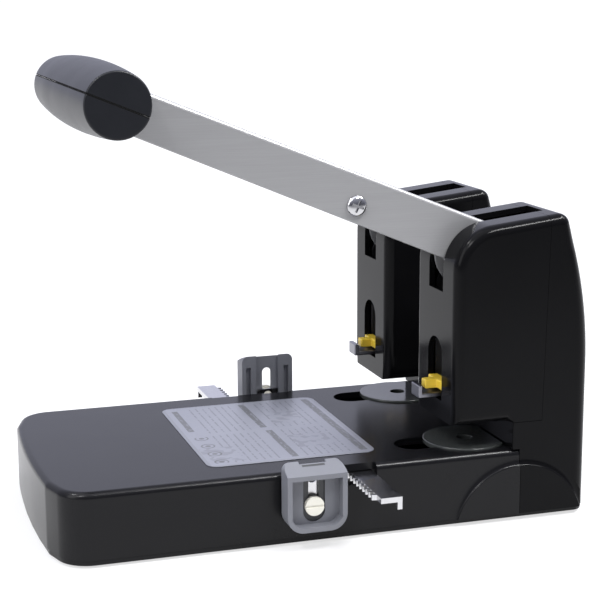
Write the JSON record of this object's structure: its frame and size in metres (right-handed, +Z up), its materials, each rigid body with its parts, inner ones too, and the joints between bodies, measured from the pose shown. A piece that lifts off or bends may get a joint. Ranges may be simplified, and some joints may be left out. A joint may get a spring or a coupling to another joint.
{
  "type": "hole punch",
  "caption": "heavy duty two-hole lever punch with a cross grip, twin towers, a black base with a chip pan and self-centring paper guides",
  "frame": {"origin": "on the desk, under the middle of the base", "axes": "+X from the front of the paper table to the rear of the towers, +Y to the far side, +Z up"},
  "size_m": [0.231, 0.188, 0.1951],
  "materials": {
    "black_plastic": "semi-gloss moulded",
    "grip_plastic": "satin",
    "silver_paint": "satin",
    "bright_steel": "bright",
    "dark_steel": "oiled",
    "spring_steel": "drawn",
    "bush_brass": "turned",
    "disc_plastic": "satin",
    "grey_plastic": "satin",
    "cream_plastic": "smooth",
    "yellow_plastic": "smooth",
    "label_silver": "satin film",
    "foot_rubber": "matt"
  },
  "bodies": {
    "base": {"base_cover": "black_plastic", "base_plate": "dark_steel", "base_screws": "bright_steel", "label_plate": "label_silver", "near_cutting_disc": "disc_plastic", "far_cutting_disc": "disc_plastic", "near_tower_frame": "dark_steel", "far_tower_frame": "dark_steel", "tower_bolts": "bright_steel", "near_head_cover": "black_plastic", "far_head_cover": "black_plastic", "near_rear_cover": "black_plastic", "far_rear_cover": "black_plastic", "pivot_studs": "bright_steel", "near_guide_bush": "bush_brass", "far_guide_bush": "bush_brass", "near_return_spring": "spring_steel", "far_return_spring": "spring_steel", "near_pin_clip": "yellow_plastic", "far_pin_clip": "yellow_plastic", "near_pin_keeper": "bright_steel", "far_pin_keeper": "bright_steel", "pinion_stud": "bright_steel", "rack_bracket": "dark_steel"},
    "chip_pan": {"chip_pan": "black_plastic", "rubber_feet": "foot_rubber"},
    "lever": {"near_lever_arm": "silver_paint", "far_lever_arm": "silver_paint", "near_press_bar": "bright_steel", "far_press_bar": "bright_steel", "tie_bar": "bright_steel", "tie_bar_screws": "bright_steel", "grip_rod": "bright_steel", "grip_upper_shell": "grip_plastic", "grip_lower_shell": "grip_plastic"},
    "near_punch": {"near_punch_pin": "bright_steel", "near_ram": "dark_steel"},
    "far_punch": {"far_punch_pin": "bright_steel", "far_ram": "dark_steel"},
    "near_guide": {"near_guide_rack": "bright_steel", "near_guide_screw": "cream_plastic"},
    "near_clip": {"near_side_guide": "grey_plastic"},
    "far_guide": {"far_guide_rack": "bright_steel", "far_guide_screw": "cream_plastic"},
    "far_clip": {"far_side_guide": "grey_plastic"},
    "pinion": {"guide_pinion": "bright_steel"}
  },
  "joints": [
    {"name": "lever_swing", "type": "hinge", "parent": "base", "child": "lever", "pos_m": [0.072, 0, 0.1161], "axis": [0, -1, 0], "range_deg": [0, 40], "stiffness_Nm_per_rad": 1.5, "springref_deg": -45.84},
    {"name": "near_punch_stroke", "type": "slide", "parent": "base", "child": "near_punch", "axis": [0, 0, -1], "range_m": [0, 0.0126], "deforming": ["near_return_spring"]},
    {"name": "far_punch_stroke", "type": "slide", "parent": "base", "child": "far_punch", "axis": [0, 0, -1], "range_m": [0, 0.0126], "deforming": ["far_return_spring"]},
    {"name": "near_guide_slide", "type": "slide", "parent": "base", "child": "near_guide", "axis": [0, -1, 0], "range_m": [0, 0.084]},
    {"name": "far_guide_slide", "type": "slide", "parent": "base", "child": "far_guide", "axis": [0, 1, 0], "range_m": [0, 0.084]},
    {"name": "pinion_turn", "type": "hinge", "parent": "base", "child": "pinion", "pos_m": [0, 0, 0.0266], "axis": [0, 0, 1], "range_deg": [0, 601]},
    {"name": "near_clip_lift", "type": "slide", "parent": "near_guide", "child": "near_clip", "axis": [0, 0, 1], "range_m": [-0.007, 0.002]},
    {"name": "far_clip_lift", "type": "slide", "parent": "far_guide", "child": "far_clip", "axis": [0, 0, 1], "range_m": [-0.0095, 0]},
    {"name": "chip_pan_drop", "type": "slide", "parent": "base", "child": "chip_pan", "axis": [0, 0, -1], "range_m": [0, 0.015]}
  ],
  "couplings": [
    {"joint": "near_punch_stroke", "follows": "lever_swing", "m_per_rad": 0.01793},
    {"joint": "far_punch_stroke", "follows": "lever_swing", "m_per_rad": 0.01793},
    {"joint": "far_guide_slide", "follows": "near_guide_slide", "ratio": 1},
    {"joint": "pinion_turn", "follows": "near_guide_slide", "rad_per_m": 124.66}
  ]
}
